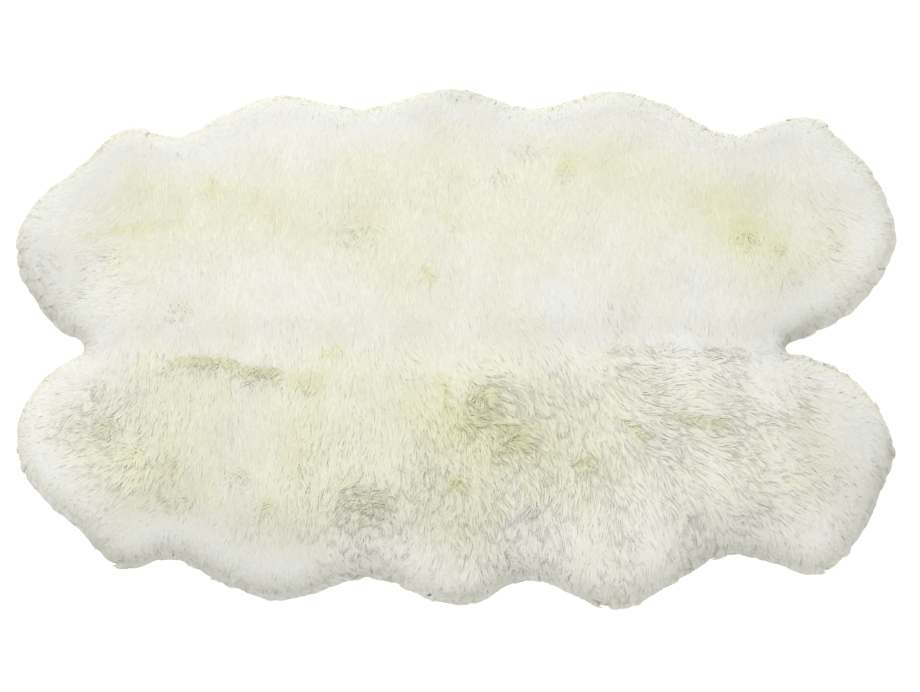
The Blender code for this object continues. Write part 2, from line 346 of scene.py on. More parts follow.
PAINTED_SHADES = [
    Patch(-0.52, -0.056, 0.025, 0.90), Patch(-0.40, -0.080, 0.030, 0.90), Patch(-0.75, 0.36, 0.12, 0.30),
    Patch(-0.45, 0.44, 0.12, 0.10), Patch(0.00, 0.50, 0.12, 0.25), Patch(0.35, 0.48, 0.12, 0.25),
    Patch(0.65, 0.38, 0.14, 0.40), Patch(-0.60, 0.02, 0.12, 0.20), Patch(-0.86, 0.10, 0.07, 0.50),
    Patch(-0.82, -0.18, 0.10, -0.40), Patch(-0.60, -0.40, 0.11, 0.80), Patch(-0.35, -0.44, 0.12, 0.45),
    Patch(-0.45, -0.20, 0.08, 0.30), Patch(0.50, -0.42, 0.07, 0.60), Patch(0.84, -0.28, 0.07, 0.60),
    Patch(0.40, -0.10, 0.16, -0.40), Patch(0.30, -0.30, 0.16, -0.40), Patch(0.05, -0.17, 0.11, -0.80),
    Patch(-0.28, -0.30, 0.12, -0.30), Patch(-0.86, -0.10, 0.08, -0.30), Patch(0.55, -0.28, 0.10, -0.25),
    Patch(0.42, 0.03, 0.10, 0.35), Patch(0.66, 0.03, 0.10, 0.50), Patch(0.72, 0.12, 0.08, 0.30),
    Patch(-0.88, 0.15, 0.05, 0.50), Patch(0.80, -0.20, 0.06, 0.40), Patch(0.60, -0.42, 0.08, 0.30),
    Patch(-0.68, -0.44, 0.07, 0.35), Patch(-0.40, -0.45, 0.08, 0.30), Patch(0.10, -0.47, 0.07, 0.30),
    Patch(0.90, 0.12, 0.07, -0.60), Patch(0.88, -0.10, 0.07, -0.60), Patch(-0.88, -0.30, 0.07, -0.40),
    Patch(-0.62, -0.40, 0.09, 0.20), Patch(-0.40, -0.42, 0.09, 0.20), Patch(0.84, -0.30, 0.06, 0.40),
    Patch(0.55, 0.20, 0.07, -0.30), Patch(0.20, 0.03, 0.08, 0.20), Patch(-0.86, 0.17, 0.05, 0.50),
    Patch(-0.62, -0.42, 0.07, 0.30), Patch(-0.45, -0.46, 0.05, 0.30), Patch(0.52, -0.42, 0.08, 0.25),
    Patch(0.84, -0.24, 0.05, 0.40), Patch(0.05, -0.12, 0.06, -0.40), Patch(0.82, -0.02, 0.07, -0.50),
    Patch(0.42, -0.27, 0.07, -0.30), Patch(-0.66, -0.26, 0.05, -0.30), Patch(-0.79, 0.16, 0.06, 0.50),
    Patch(-0.56, -0.40, 0.08, 0.45), Patch(-0.30, -0.43, 0.07, 0.35), Patch(0.80, -0.36, 0.07, 0.55),
    Patch(0.70, -0.23, 0.05, 0.45), Patch(0.52, 0.16, 0.08, 0.30), Patch(0.30, 0.04, 0.07, 0.25),
    Patch(0.80, 0.28, 0.06, 0.35), Patch(-0.69, 0.36, 0.10, 0.20), Patch(0.04, -0.11, 0.08, -0.35),
    Patch(-0.76, -0.15, 0.05, -0.40), Patch(-0.64, -0.27, 0.05, -0.35), Patch(0.41, -0.09, 0.06, -0.40),
]
COARSE_PATCHES = [
    Patch(0.45, -0.25, 0.30, 0.48), Patch(-0.86, 0.05, 0.14, 0.50), Patch(0.88, 0.15, 0.14, 0.45),
    Patch(-0.68, -0.22, 0.12, 0.45), Patch(-0.18, -0.36, 0.14, 0.60), Patch(0.10, -0.20, 0.14, 0.50),
    Patch(-0.20, 0.22, 0.09, 0.25), Patch(0.10, -0.42, 0.14, 0.40),
]
print("shades:", len(PAINTED_SHADES), "coarse patches:", len(COARSE_PATCHES))

# %% [markdown]
# ## The wool at any point
#
# The edge of the rug is found from the surface itself: it is the ring of points that face
# straight out sideways. A k-d tree answers quickly how far a point is from that ring and which
# way is out.

# %% The edge of the rug
RIM_TILT = 0.25
RIM_NEIGHBOURS = 4

me = whole.data
rim_points = [v.co.copy() for v in me.vertices if abs(v.normal.z) < RIM_TILT]
rim_outward = [v.normal.copy() for v in me.vertices if abs(v.normal.z) < RIM_TILT]
rim = KDTree(len(rim_points))
for i, point in enumerate(rim_points):
    rim.insert((point.x, point.y, 0), i)
rim.balance()


def edge_of(points):
    """For each point, its distance in plan from the rug's edge, and the way out there."""
    distance = np.empty(len(points))
    outward = np.empty((len(points), 2))
    for i, (x, y) in enumerate(points[:, :2]):
        found = rim.find_n((x, y, 0), RIM_NEIGHBOURS)
        distance[i] = found[0][2]
        outward[i] = sum(np.array(rim_outward[index].xy) for _, index, _ in found)
    return distance, outward / np.linalg.norm(outward, axis=1)[:, None]


print("rim:", len(rim_points), "points")

# %% [markdown]
# Next come the small pieces of arithmetic. Every row of a table acts most strongly at its own
# place and fades away from it as a bell curve does. Smooth random waves, a few sines added up,
# stand for the accidents of the wool. All helpers work on many points at once, which is fast.

# %% Arithmetic helpers


def waves(points, size, seed, count=9):
    """A smooth random field over the plan, from about -1 to 1, with features of one size."""
    rng = np.random.default_rng(seed)
    angle = rng.uniform(0, math.tau, count)
    pitch = size * rng.uniform(0.7, 1.6, count)
    phase = rng.uniform(0, math.tau, count)
    along = np.cos(angle) * points[:, :1] + np.sin(angle) * points[:, 1:2]
    return np.sin(along * math.pi / pitch + phase).sum(1) / math.sqrt(count)


def near(points, row):
    """How strongly a row of a table acts at each point: 1 at its place, fading with distance."""
    away = points[:, :2] - (row.x, row.y)
    return np.exp(-(away**2).sum(1) / row.reach**2)


def patches(points, table):
    return sum(near(points, row) * row.amount for row in table)


def near_crease(points, crease):
    """The same for a crease, and the way that leads off it on each side."""
    start, end = np.array((crease.x1, crease.y1)), np.array((crease.x2, crease.y2))
    run = end - start
    share = np.clip((points[:, :2] - start) @ run / (run @ run), 0, 1)
    off = points[:, :2] - (start + share[:, None] * run)
    distance = np.linalg.norm(off, axis=1)
    return np.exp(-((distance / crease.reach) ** 2)), off / (distance[:, None] + 1e-6)


def smooth_step(x, low, high):
    t = np.clip((x - low) / (high - low), 0, 1)
    return t * t * (3 - 2 * t)


def rotate(ways, angle):
    turned_x = ways[:, 0] * np.cos(angle) - ways[:, 1] * np.sin(angle)
    turned_y = ways[:, 0] * np.sin(angle) + ways[:, 1] * np.cos(angle)
    return np.stack([turned_x, turned_y], 1)


def unit(vectors):
    return vectors / (np.linalg.norm(vectors, axis=1)[:, None] + 1e-9)


print("a bell curve one reach away:", round(math.exp(-1), 2))

# %% [markdown]
# Now the lie of the wool at any point: first by the table of directions alone, then turned
# outwards near the edge of the rug, and last opened at the whorls and creases. Where the combed
# way and the way out are nearly opposite, a lock takes one or the other, and elsewhere a mean of
# both. Each lock makes its own choice, from 0 to 1, of where to turn, so no parting shows.

# %% The lie of the wool
EDGE_TURN = (0.0, 0.085)  # the wool has surely turned outwards, and hasn't turned yet
OTHER_SIDE = 0.12  # how much a direction counts on the other side of the long seam
WHORL_PUSH = 2.5
CREASE_PUSH = 1.6
CREASE_DEPTH = 0.7  # a crease is less deep than a whorl that opens as far


def combed(points):
    """The lie by the table of directions alone."""
    seam_wobble = SEAM_Y + 0.01 * waves(points, 0.05, 3)
    sums = np.zeros((len(points), 2))
    for row in COMBING:
        apart = (points[:, 0] - row.x) ** 2 + (points[:, 1] - row.y) ** 2
        weight = np.exp(-apart / COMB_REACH**2) + 1e-9
        weight *= np.where((row.y > SEAM_Y) == (points[:, 1] > seam_wobble), 1.0, OTHER_SIDE)
        heading = math.radians(row.heading)
        sums += weight[:, None] * (math.cos(heading), math.sin(heading))
    return unit(sums)


def turned_out(lie, outward, edge, choice):
    """The lie once the wool near the edge has turned outwards."""
    turned = 1 - smooth_step(edge, *EDGE_TURN)
    agreement = smooth_step((lie * outward).sum(1), -0.8, 0.1)
    threshold = 0.5 + (choice - 0.5) * (1 - 0.7 * agreement)
    share = np.clip((turned - threshold) / (0.1 + 0.9 * agreement) + 0.5, 0, 1)
    return unit(lie * (1 - share)[:, None] + outward * share[:, None])


def opened(points, lie):
    """The lie once the whorls and creases open it, with their openness and their gold."""
    openness = np.zeros(len(points))
    gold = np.zeros(len(points))
    for whorl in WHORLS:
        strength = near(points, whorl)
        away = unit(points[:, :2] - (whorl.x, whorl.y))
        lie = lie + away * (WHORL_PUSH * whorl.open * strength)[:, None]
        openness = np.maximum(openness, strength * whorl.open)
        gold = np.maximum(gold, strength * whorl.gold)
    for crease in CREASES:
        strength, off = near_crease(points, crease)
        lie = lie + off * (CREASE_PUSH * crease.open * strength)[:, None]
        openness = np.maximum(openness, CREASE_DEPTH * strength * crease.open)
        gold = np.maximum(gold, strength * crease.gold)
    return lie, openness, gold


print("locks turn outwards within", EDGE_TURN[1], "m of the edge")

# %% [markdown]
# The rest of the wool's state comes from the tables in the same way: how coarse it is, how
# golden, and how much painted shade it gets. Coarse wool stands in sharp tufts, as on the near
# pelts and at the ends, and soft wool is brushed flat and silky, as on the far ones.

# %% The state of the wool
FAR_COARSENESS = 0.10
NEAR_COARSENESS = 0.15  # on top of the first
EDGE_COARSENESS = 0.35

Wool = namedtuple("Wool", "lie coarse openness gold shade edge")


def gold_at(points, edge, opened_gold):
    gold = opened_gold + INNER_GOLD + 0.07 * waves(points, 0.11, 31) + 0.04 * waves(points, 0.04, 32)
    gold = gold + patches(points, STAINS)
    return np.clip(gold, 0, 1) * smooth_step(edge, *GOLD_FADE)


def coarse_at(points, edge, openness):
    coarse = FAR_COARSENESS + NEAR_COARSENESS * (points[:, 1] < SEAM_Y)
    coarse = coarse + patches(points, COARSE_PATCHES)
    coarse = coarse + EDGE_COARSENESS * (1 - smooth_step(edge, 0.0, 0.05))
    coarse = coarse + 0.12 * waves(points, 0.07, 5)
    return np.clip(np.maximum(coarse, openness), 0, 1)


def painted_shade_at(points, edge):
    """How much painted shade the wool gets: a band of it runs just inside the edge, where the pile
    curves down.
    """
    shade = MEAN_PAINTED_SHADE + patches(points, PAINTED_SHADES) + 0.06 * waves(points, 0.06, 33)
    # painted shade in a band where the pile curves down at the edge
    band = smooth_step(edge, 0.0, 0.03) - smooth_step(edge, 0.03, 0.12)
    return np.clip(shade + EDGE_PAINTED_SHADE * band, 0, 1)


def wool_at(points, choice):
    """The wool's state at each point; choice, from 0 to 1, says who turns outwards first."""
    edge, outward = edge_of(points)
    lie = turned_out(combed(points), outward, edge, choice)
    lie, openness, gold = opened(points, lie)
    coarse = coarse_at(points, edge, openness)
    wobble = 0.22 * waves(points, 0.16, 11) + 0.20 * waves(points, 0.05, 12) * (0.3 + coarse)
    return Wool(
        rotate(unit(lie), wobble), coarse, openness, gold_at(points, edge, gold),
        painted_shade_at(points, edge), edge,
    )


print("state of the wool:", ", ".join(Wool._fields))

# %% [markdown]
# ## Where the locks lie
#
# Each lock is placed by its middle. The middles are spread over the faces of the whole fleece
# that can be seen: its top, its shoulder and its side, but not its flat base. Each pelt gets the
# same number of locks, and they stand closer where the wool is coarse or open or near the edge,
# because the locks there are thinner. A random shift inside each face hides the grid.

# %% Middles of the locks
LOCKS_PER_PELT = 32600
LOWEST_MIDDLE = 0.006
LEAST_UPWARD = -0.5
SILKY_DENSITY = 0.6  # to which coarse wool adds 1, and open wool and the edge these
OPEN_DENSITY = 1.8
EDGE_DENSITY = 1.0
SHIFT = 0.5

rng = np.random.default_rng(7)
centres = np.empty(len(me.polygons) * 3)
me.polygons.foreach_get("center", centres)
normals = np.empty(len(me.polygons) * 3)
me.polygons.foreach_get("normal", normals)
centres, normals = centres.reshape(-1, 3), normals.reshape(-1, 3)
state = wool_at(centres, np.full(len(centres), 0.5))
wanted = SILKY_DENSITY + smooth_step(state.coarse, 0.10, 0.75) + OPEN_DENSITY * state.openness
wanted += EDGE_DENSITY * (1 - smooth_step(state.edge, 0.02, 0.12))
wanted[(centres[:, 2] < LOWEST_MIDDLE) | (normals[:, 2] < LEAST_UPWARD)] = 0
pelt_of = (centres[:, 0] > SEAM_X) + 2 * (centres[:, 1] > SEAM_Y)
for pelt in range(len(PELTS)):
    wanted[pelt_of == pelt] *= LOCKS_PER_PELT / wanted[pelt_of == pelt].sum()
copies_here = np.floor(wanted + rng.random(len(wanted))).astype(int)
middles = np.repeat(centres, copies_here, axis=0)
middle_facing = np.repeat(normals, copies_here, axis=0)
shift = rng.uniform(-SHIFT, SHIFT, middles.shape) * FLEECE_VOXEL
middles = middles + shift - middle_facing * (shift * middle_facing).sum(1)[:, None]
count = len(middles)
print("locks:", count)

# %% [markdown]
# ## Tufts
#
# Wool never stays as single hairs: the grease and the crimp gather it into tufts, and the locks
# of one tuft lean together and meet at the tip. So each lock gets the nearest tuft centre, and
# each tuft its own small turn, length and height. This is what makes fur look like fur.

# %% Tufts
TUFT_SPACING = 0.021
TUFT_SAY = 0.15  # how far a tuft, and not each of its locks, chooses where to turn outwards

columns = np.arange(cad_low.x, cad_high.x, TUFT_SPACING)
rows = np.arange(cad_low.y, cad_high.y, TUFT_SPACING)
tuft_xy = np.stack(np.meshgrid(columns, rows), -1).reshape(-1, 2)
tuft_xy += rng.uniform(-0.5, 0.5, tuft_xy.shape) * TUFT_SPACING
tufts = KDTree(len(tuft_xy))
for i, (x, y) in enumerate(tuft_xy):
    tufts.insert((x, y, 0), i)
tufts.balance()
tuft_of = np.array([tufts.find((x, y, 0))[1] for x, y in middles[:, :2]])
tuft_choice = rng.random(len(tuft_xy))[tuft_of]
wool_here = wool_at(middles, TUFT_SAY * tuft_choice + (1 - TUFT_SAY) * rng.random(count))
lie, coarse, openness, gold, shade, edge_distance = wool_here
tuft_turn = rng.normal(0, 1, len(tuft_xy))[tuft_of]
tuft_length = rng.normal(0, 1, len(tuft_xy))[tuft_of]
tuft_lift = rng.normal(0, 1, len(tuft_xy))[tuft_of]
tuft_tint = rng.normal(0, 1, len(tuft_xy))[tuft_of]
print("tufts:", len(np.unique(tuft_of)))

# %% [markdown]
# ## The direction and length of each lock
#
# Locks are never quite parallel. Each turns a little from the lie, with its tuft and on its own:
# hardly at all in silky wool, more in coarse wool, and most where the wool opens. One lock in
# twenty-five is a stray. Silky wool is about 60 mm long, and what stands in a star is shorter.

# %% Directions and lengths
STRAY_SHARE = 0.04
LEAST_TURN = 0.03  # in radians, with the tuft and alone
TUFT_TURN = 0.24  # more in coarse wool, with the tuft
OWN_TURN = 0.13  # and alone
STRAY_TURN = 0.4
OPEN_TURN = 0.60
SILKY_LENGTH = 0.062
COARSE_SHORTER = 0.014
LENGTH_SPREAD = 0.004
OPEN_SHORTER = 0.75  # as a share of the length
EDGE_SHORTER = 0.25
SHORTEST_ALLOWED = 0.010
LONGEST_ALLOWED = 0.075
DOWNWARD = -0.25  # a little of every lock's way leads down, so that it hangs over the edge

stray = rng.random(count) < STRAY_SHARE
turn = tuft_turn * (LEAST_TURN + TUFT_TURN * coarse)
turn = turn + rng.normal(0, 1, count) * (LEAST_TURN + OWN_TURN * coarse)
turn = turn + (STRAY_TURN * stray + OPEN_TURN * openness) * rng.normal(0, 1, count)
way = np.column_stack([rotate(lie, turn), np.full(count, DOWNWARD)])
length = SILKY_LENGTH - COARSE_SHORTER * coarse + LENGTH_SPREAD * tuft_length
length = length + rng.normal(0, LENGTH_SPREAD, count)
length *= 1 - OPEN_SHORTER * openness
length *= 1 - EDGE_SHORTER * (1 - smooth_step(edge_distance, 0.01, 0.06))
length = np.clip(length, SHORTEST_ALLOWED, LONGEST_ALLOWED)
print("mean length of a lock:", round(1000 * length.mean(), 1), "mm")

# %% [markdown]
# ## How high each lock lies
#
# A lock has three knots: its start, its middle and its tip. It starts inside the fleece, comes
# up through it and lies over the locks in front of it, like shingles on a roof. Wool is stiff,
# too: at the edge a tip goes part of the way straight on, and the tips that do make the fringe.

# %% Heights of the knots
FLAT_LIFT = np.array([-0.0022, 0.0002, -0.0007])[:, None]  # brushed flat
TUFT_LIFT = np.array([-0.0040, 0.0004, 0.0010])[:, None]  # standing in tufts
TUFT_RISE = np.array([0.0003, 0.0010])[:, None]
OPEN_RISE = np.array([0.0015, 0.0045])[:, None]
STRAY_RISE = 0.0008
SPREAD = 0.0001
COARSE_SPREAD = 0.0002
TIP_SPREAD = 0.0004
HANG_DROP = 0.003
FRINGE_RISE = 0.0011
FRINGE_SPREAD = 0.0006
MEAN_STIFFNESS = 0.36
TUFT_STIFFNESS = 0.28
OWN_STIFFNESS = 0.15

lift = FLAT_LIFT + (TUFT_LIFT - FLAT_LIFT) * coarse
lift[1:] += rng.normal(0, SPREAD, count) + rng.normal(0, COARSE_SPREAD, count) * coarse
lift[1:] += tuft_lift * coarse * TUFT_RISE
lift[2] += rng.normal(0, TIP_SPREAD, count) * coarse + stray * STRAY_RISE
lift[1:] += openness * OPEN_RISE
hang = 1 - smooth_step(edge_distance, 0.0, 0.035)
lift[2] -= HANG_DROP * hang
fringe_rise = FRINGE_RISE * np.clip(tuft_lift, -1, 2) + FRINGE_SPREAD * rng.normal(0, 1, count)
lift[1:] += hang * fringe_rise
stiffness = MEAN_STIFFNESS + TUFT_STIFFNESS * tuft_lift + OWN_STIFFNESS * rng.normal(0, 1, count)
stiffness = hang * np.clip(stiffness, 0, 1)
print("mean height of the tips:", round(1000 * lift[2].mean(), 2), "mm over the fleece")

# %% [markdown]
# ## The path of each lock
#
# From its middle a lock is walked over the surface, back to its start and forward to its tip.
# After each walk the nearest point of the surface is looked up, so a lock near the edge follows
# the shoulder down towards the floor. A lock isn't straight, either: its middle bows to one
# side, most of all in open wool.

# %% Paths
STEPS = 2  # from the start of a lock to its middle, and on to its tip
LEAST_BOW = 0.02  # as a share of the length
COARSE_BOW = 0.06
OPEN_BOW = 0.16

surface = BVHTree.FromPolygons(
    [v.co for v in me.vertices], [tuple(p.vertices) for p in me.polygons]
)


def on_surface(points):
    """The nearest point and normal of the whole fleece, for each point."""
    places, facing = np.empty_like(points), np.empty_like(points)
    for i, point in enumerate(points):
        place, normal, _, _ = surface.find_nearest(point)
        places[i], facing[i] = place, normal
    return places, facing


def walk(points, normals_there, ways, distance):
    """Go a distance over the surface from each point, the way it lies there."""
    flat = unit(ways - normals_there * (ways * normals_there).sum(1)[:, None])
    return on_surface(points + flat * distance[:, None])


start, start_facing = walk(middles, middle_facing, -way, length / STEPS)
tip, tip_facing = walk(middles, middle_facing, way, length / STEPS)
straight_on = middles + (middles - start)
tip += (straight_on - tip) * stiffness[:, None]
facings = np.stack([start_facing, middle_facing, tip_facing], 1)
knots = np.stack([start, middles, tip], 1) + facings * lift.T[..., None]
bow = LEAST_BOW + COARSE_BOW * coarse + OPEN_BOW * openness
bow = rng.normal(0, 1, count) * length * bow
aside = np.cross(facings[:, 1], knots[:, 2] - knots[:, 0])
knots[:, 1] += unit(aside) * bow[:, None]
print("farthest tip along the rug:", round(np.abs(knots[:, 2, 0]).max(), 3), "m from the middle")

# %% [markdown]
# The tufts close: each lock's middle and tip move part of the way to the mean of its tuft. In
# coarse wool they move far, which gives sharp points, and in silky wool hardly at all. Round the
# edge a tuft's mean would lie inside the rug, so less of the gathering is done there.

# %% Close the tufts
GATHER = (0.0, 0.02, 0.06)  # silky wool, for the start, the middle and the tip
GATHER_COARSE = (0.0, 0.20, 0.50)
GATHER_STRAY = 0.15
GATHER_AT_EDGE = 0.7
LOWEST_WOOL = 0.0022

members = np.bincount(tuft_of, minlength=len(tuft_xy)).astype(float)
at_edge = GATHER_AT_EDGE + (1 - GATHER_AT_EDGE) * smooth_step(edge_distance, 0.010, 0.045)
for k in range(1, STEPS + 1):
    mean = np.zeros((len(tuft_xy), 3))
    np.add.at(mean, tuft_of, knots[:, k])
    mean /= np.maximum(members, 1)[:, None]
    pull = GATHER[k] + (GATHER_COARSE[k] - GATHER[k]) * coarse
    pull = np.where(stray, GATHER_STRAY, pull) * at_edge
    knots[:, k] += (mean[tuft_of] - knots[:, k]) * pull[:, None]
knots[:, :, 2] = np.maximum(knots[:, :, 2], LOWEST_WOOL)
print("highest wool:", round(1000 * knots[:, :, 2].max(), 1), "mm")

# %% [markdown]
# ## One lock, modelled by hand
#
# A lock is a thin three-sided strand, widest in the middle and pointed at both ends. It starts
# as a cone, whose base is extruded backwards and merged to a point. It has only six faces,
# because it will be repeated more than a hundred thousand times. The model is one unit long and
# stands upright, so a point's height says how far along the lock it is.

# %% Model the lock
HALF_LOCK = 0.5

bpy.ops.object.select_all(action="DESELECT")
bpy.ops.mesh.primitive_cone_add(
    vertices=3, radius1=HALF_LOCK, radius2=0, depth=HALF_LOCK, end_fill_type="NGON",
    location=(0, 0, HALF_LOCK * 1.5),
)
lock = bpy.context.object
lock.name = "one_lock"
bpy.ops.object.transform_apply(location=True, rotation=False, scale=False)
bpy.ops.object.mode_set(mode="EDIT")
bpy.ops.mesh.select_mode(type="FACE")
bpy.ops.mesh.select_all(action="DESELECT")
bpy.ops.object.mode_set(mode="OBJECT")
for face in lock.data.polygons:
    face.select = face.normal.z < -0.9
bpy.ops.object.mode_set(mode="EDIT")
bpy.ops.mesh.extrude_region_move(TRANSFORM_OT_translate={"value": (0, 0, -HALF_LOCK)})
bpy.ops.mesh.merge(type="COLLAPSE")
bpy.ops.mesh.select_all(action="SELECT")
bpy.ops.mesh.normals_make_consistent(inside=False)
bpy.ops.object.mode_set(mode="OBJECT")
lock_points = np.array([v.co for v in lock.data.vertices])
lock_faces = np.array([p.vertices for p in lock.data.polygons])
lock_ring = np.rint(lock_points[:, 2] * STEPS).astype(int)
lock_side = np.arctan2(lock_points[:, 0], lock_points[:, 1])
lock_side[lock_ring != 1] = 0
bpy.data.objects.remove(lock, do_unlink=True)
print("one lock:", len(lock_points), "points,", len(lock_faces), "triangles")

# %% [markdown]
# ## Thickness and directions
#
# Silky locks are broad and flat and lie together like a brushed coat, and coarse ones are thin
# and round. At each knot the lock gets three directions: along its path, sideways, and up from
# the fleece. A lock that hangs over the edge still shows its upper side.

# %% Thickness and directions
RING_WIDTH = np.array([0.0, 1.0, 0.0])  # of the width, at the start, the middle and the tip
EDGE_FINENESS = 0.9
BROADEST = 0.0062
BROADER = 0.0040  # how much broader a silky lock is than a fine one
LEAST_UPWARD_SIDE = 0.45

fineness = smooth_step(coarse, 0.10, 0.75)
fineness = np.maximum(fineness, EDGE_FINENESS * (1 - smooth_step(edge_distance, 0.01, 0.05)))
width = (BROADEST - BROADER * fineness) * rng.uniform(0.7, 1.3, count) * np.where(stray, 0.5, 1.0)
flatness = 0.12 + 0.30 * fineness
facings[..., 2] = np.maximum(facings[..., 2], LEAST_UPWARD_SIDE)
facings /= np.linalg.norm(facings, axis=2)[..., None]
lean = np.gradient(knots, axis=1)
along = lean / np.linalg.norm(lean, axis=2)[..., None]
sideways = np.cross(facings, along)
sideways /= np.linalg.norm(sideways, axis=2)[..., None] + 1e-9
upwards = np.cross(along, sideways)
roll = rng.normal(0, 0.10 + 0.6 * fineness, count)
print("mean width of a lock:", round(1000 * width.mean(), 1), "mm")

# %% [markdown]
# ## Which strip of paint each lock uses
#
# All locks share one small painted sheet. Its columns are the variants: five levels of painted
# shade on silky wool, each a little darker than the one before, then the same for coarse wool. Its
# height runs from white to golden. A lock picks its level by the painted shade there, with a random
# nudge, so that no border between two levels can be seen.

# %% Colours of the locks
TINTS = 32
PAINTED_SHADE_LEVELS = 5
VARIANTS = 2 * PAINTED_SHADE_LEVELS

gold = gold + 0.02 * tuft_tint + rng.normal(0, 0.02 + 0.03 * fineness, count)
tint = np.clip(gold, 0, 1) * (TINTS - 1)
coarse_look = rng.random(count) < fineness
nudge = rng.uniform(-0.5, 0.5, count) * (1 + fineness)
# painted shade: the shade there picks how dark a level of the wool the lock gets
painted_shade_level = np.clip(np.rint(shade * (PAINTED_SHADE_LEVELS - 1) + nudge), 0, PAINTED_SHADE_LEVELS - 1)
variant = painted_shade_level + PAINTED_SHADE_LEVELS * coarse_look
print("locks of each variant:", np.bincount(variant.astype(int)).tolist())

# %% [markdown]
# ## Laying the locks
#
# The copies of the one lock are laid along the paths. The arrays hold all the locks of one pelt
# at once, which is far faster than thousands of objects. Two helpers give the points, and where
# each corner of a face lies on the painted sheet.

# %% Points and painted sheet
STRIP_START = 0.03  # of a column of the sheet, which leaves a margin
STRIP_LENGTH = 0.94
ROW_START = 0.15  # of a row of the sheet
ROW_HEIGHT = 0.7


def laid_points(chosen, ring, angle):
    """The points of the chosen locks, each ring at its knot, with its width and its roll."""
    girth = RING_WIDTH[lock_ring] * width[chosen, None] / 2
    points = knots[ring]
    points = points + sideways[ring] * (np.sin(angle) * girth)[..., None]
    points = points + upwards[ring] * (np.cos(angle) * girth * flatness[chosen, None])[..., None]
    points[..., 2] = np.maximum(points[..., 2], LOWEST_WOOL / 2)
    return points


def sheet_places(chosen):
    """Where each corner is on the painted sheet: along the lock, and across its tint."""
    across = (0.5 - 0.5 * np.cos(lock_side))[None, :] * ROW_HEIGHT + ROW_START
    u = (variant[chosen, None] + STRIP_START + STRIP_LENGTH * lock_ring[None, :] / STEPS) / VARIANTS
    v = (tint[chosen, None] + across) / TINTS
    return np.stack([u, v], -1)[:, lock_faces.reshape(-1)]


print("the sheet has", VARIANTS, "columns and", TINTS, "rows")

# %% [markdown]
# A lock is shaded mostly as part of the fleece and only a little by its own roundness, because
# light goes on through wool. So its corners get normals of their own. The fringe is seen from
# all sides, so there no corner may be shaded as if it faced away.

# %% Light on the locks
PART_OF_FLEECE = 0.95
ROUNDER = 0.12  # how much less a fine lock is shaded as part of the fleece
FRINGE_REACH = 0.045
LEAST_FACING = 0.4

softness = (PART_OF_FLEECE - ROUNDER * fineness)[:, None, None]


def shaded_ways(chosen, ring, angle, points):
    """Which way each corner faces for the light."""
    round_way = sideways[ring] * np.sin(angle)[..., None] + upwards[ring] * np.cos(angle)[..., None]
    soft = facings[ring] * softness[chosen] + round_way * (1 - softness[chosen])
    corner_ways = soft[:, lock_faces]
    first, second, third = np.moveaxis(points[:, lock_faces], 2, 0)
    face_ways = unit(np.cross(second - first, third - first).reshape(-1, 3))
    face_ways = face_ways.reshape(len(chosen), -1, 1, 3)
    shortfall = np.clip(LEAST_FACING - (corner_ways * face_ways).sum(-1), 0, None)
    shortfall *= edge_distance[chosen, None, None] < FRINGE_REACH
    return unit((corner_ways + face_ways * shortfall[..., None]).reshape(-1, 3))


print("mean softness:", round(float(softness.mean()), 2))

# %% [markdown]
# Now the locks of each pelt become one mesh, with its points, its place on the sheet and its
# normals. A lock belongs to the pelt that its middle lies on.

# %% Lay the locks


def locks_of(name):
    """All the locks whose middles are on one pelt, as one mesh with its flat coordinates."""
    side_x, side_y = side_of(name)
    here = ((middles[:, 0] - SEAM_X) * side_x > 0) & ((middles[:, 1] - SEAM_Y) * side_y > 0)
    chosen = np.flatnonzero(here)
    ring = (chosen[:, None], lock_ring[None, :])
    angle = lock_side[None, :] + roll[chosen, None]
    points = laid_points(chosen, ring, angle)
    faces = lock_faces[None] + len(lock_points) * np.arange(len(chosen))[:, None, None]
    mesh = bpy.data.meshes.new(name)
    mesh.from_pydata(points.reshape(-1, 3), [], faces.reshape(-1, 3))
    strip = mesh.uv_layers.new(name="OFBake")
    strip.data.foreach_set("uv", sheet_places(chosen).astype(np.float32).ravel())
    obj = add_object(name.replace("pelt", "locks"), mesh)
    mesh.shade_smooth()
    mesh.normals_split_custom_set(shaded_ways(chosen, ring, angle, points).tolist())
    print(obj.name, len(chosen), "locks,", len(mesh.polygons), "triangles")
    return obj


locks = {name: locks_of(name) for name in PELTS}

# %% [markdown]
# ## Nodes for paint
#
# A material is a small tree of nodes. These helpers add a node, plug a value or another node's
# output into a socket, and make the three nodes that every tree here needs: a sum, a ramp of
# colours and a mix of two colours.

# %% Node helpers


def add_node(tree, kind, x, y, **settings):
    node = tree.nodes.new(kind)
    node.location = (x, y)
    for key, value in settings.items():
        setattr(node, key, value)
    return node


def plug(tree, socket, value):
    """Link a socket to another node's output, or give it a plain number or colour."""
    if isinstance(value, bpy.types.NodeSocket):
        tree.links.new(value, socket)
    elif isinstance(value, tuple):
        socket.default_value = (*value, 1)
    else:
        socket.default_value = value


def maths(tree, operation, x, y, first, second=None):
    node = add_node(tree, "ShaderNodeMath", x, y, operation=operation)
    plug(tree, node.inputs[0], first)
    if second is not None:
        plug(tree, node.inputs[1], second)
    return node.outputs[0]


def ramp(tree, factor, x, y, stops):
    node = add_node(tree, "ShaderNodeValToRGB", x, y)
    elements = node.color_ramp.elements
    while len(elements) < len(stops):
        elements.new(0.5)
    for element, (position, colour) in zip(elements, stops):
        element.position = position
        element.color = (*colour, 1)
    tree.links.new(factor, node.inputs["Fac"])
    return node.outputs["Color"]


def mix_colours(tree, x, y, factor, first, second, blend="MIX"):
    node = add_node(tree, "ShaderNodeMix", x, y, data_type="RGBA", blend_type=blend)
    for number, value in ((0, factor), (6, first), (7, second)):
        plug(tree, node.inputs[number], value)
    return node.outputs[2]


